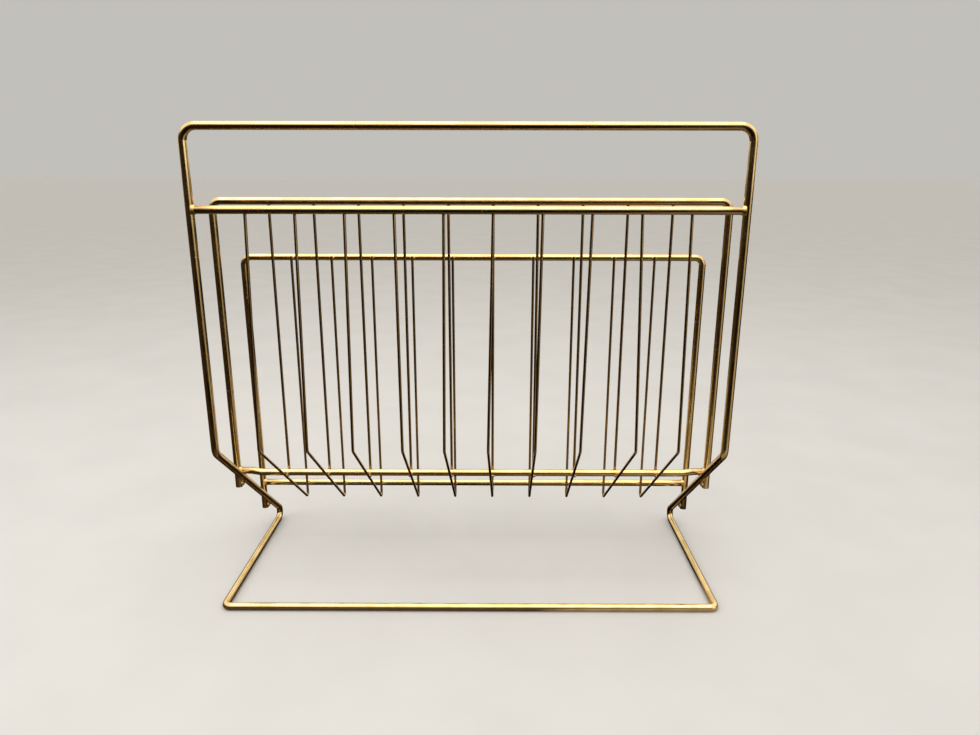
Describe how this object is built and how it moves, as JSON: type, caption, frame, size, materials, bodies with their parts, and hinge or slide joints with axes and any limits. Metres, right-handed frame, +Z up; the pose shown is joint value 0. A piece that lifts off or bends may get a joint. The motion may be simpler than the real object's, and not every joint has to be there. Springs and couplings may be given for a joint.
{
  "type": "magazine rack",
  "caption": "Free-standing two-pocket magazine rack of bent brass-plated rod and thin wire, with a bar handle and a foot loop.",
  "frame": {"origin": "on the floor, in the middle of the rack's footprint", "axes": "+X along the handle, +Y from the front (handle side) to the back, +Z up"},
  "size_m": [0.418, 0.165, 0.3785],
  "materials": {
    "brass_rod": "worn polished brass plating on steel rod",
    "brass_wire": "worn polished brass plating on steel wire",
    "braze": "plated weld beads, slightly rough"
  },
  "bodies": {
    "root": {"outer_frame": "brass_rod", "front_rail": "brass_rod", "middle_hoop": "brass_rod", "middle_rail": "brass_rod", "rear_hoop": "brass_rod", "rear_rail": "brass_rod", "basket_wire_01": "brass_wire", "basket_wire_02": "brass_wire", "basket_wire_03": "brass_wire", "basket_wire_04": "brass_wire", "basket_wire_05": "brass_wire", "basket_wire_06": "brass_wire", "basket_wire_07": "brass_wire", "basket_wire_08": "brass_wire", "basket_wire_09": "brass_wire", "basket_wire_10": "brass_wire", "divider_wire_01": "brass_wire", "divider_wire_02": "brass_wire", "divider_wire_03": "brass_wire", "divider_wire_04": "brass_wire", "divider_wire_05": "brass_wire", "divider_wire_06": "brass_wire", "divider_wire_07": "brass_wire", "divider_wire_08": "brass_wire", "divider_wire_09": "brass_wire", "divider_wire_10": "brass_wire", "front_rail_welds": "braze", "middle_rail_welds": "braze", "rear_rail_welds": "braze", "middle_hoop_welds": "braze", "rear_hoop_welds": "braze"}
  },
  "joints": []
}
